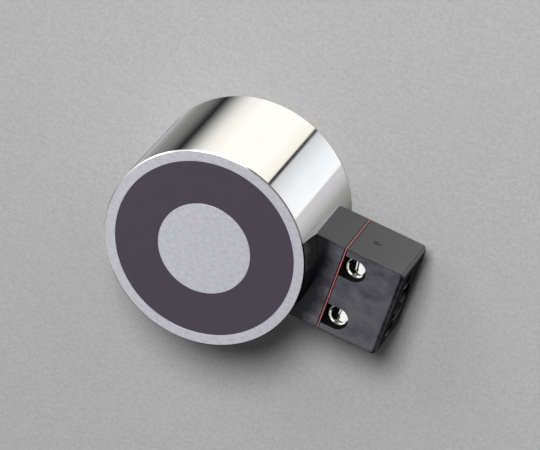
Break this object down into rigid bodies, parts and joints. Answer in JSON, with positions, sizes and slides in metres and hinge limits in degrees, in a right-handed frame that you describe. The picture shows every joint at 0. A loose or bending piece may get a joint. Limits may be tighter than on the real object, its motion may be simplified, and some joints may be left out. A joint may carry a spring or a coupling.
{
  "type": "holding electromagnet",
  "caption": "Round holding electromagnet: nickel-plated steel pot with centre pole, potted coil and a side terminal block with slotted clamping screws.",
  "frame": {"origin": "centre of the ground pole face", "axes": "+Z along the magnet's axis, out of the pole face; +X from that axis towards the terminal block"},
  "size_m": [0.0702, 0.05, 0.0334],
  "materials": {
    "nickel_plate": "bright nickel plate on the side, ground on the pole face",
    "black_resin": "cast resin, ground flush",
    "spool_moulding": "moulded",
    "copper_winding": "enamelled copper wire",
    "yellow_tape": "film tape",
    "tinned_lead": "tinned copper",
    "sleeve_moulding": "insulating sleeve",
    "black_moulding": "satin moulded thermoset",
    "red_sheet": "pressed fibre sheet",
    "screw_nickel": "bright nickel plate",
    "zinc_plate": "bright zinc plate",
    "brass": "machined"
  },
  "bodies": {
    "root": {"magnet_body": "nickel_plate", "potting_resin": "black_resin", "coil_bobbin": "spool_moulding", "coil_winding": "copper_winding", "winding_tape": "yellow_tape", "lead_wire_left": "tinned_lead", "lead_wire_right": "tinned_lead", "lead_sleeve_left": "sleeve_moulding", "lead_sleeve_right": "sleeve_moulding", "block_base": "black_moulding", "insulating_sheet": "red_sheet", "terminal_housing": "black_moulding", "terminal_screw_left": "screw_nickel", "terminal_screw_right": "screw_nickel", "clamp_plate_left": "zinc_plate", "clamp_plate_right": "zinc_plate", "terminal_bar_left": "brass", "terminal_bar_right": "brass", "fixing_screw": "zinc_plate", "plain_washer": "zinc_plate", "spring_washer": "zinc_plate"}
  },
  "joints": []
}
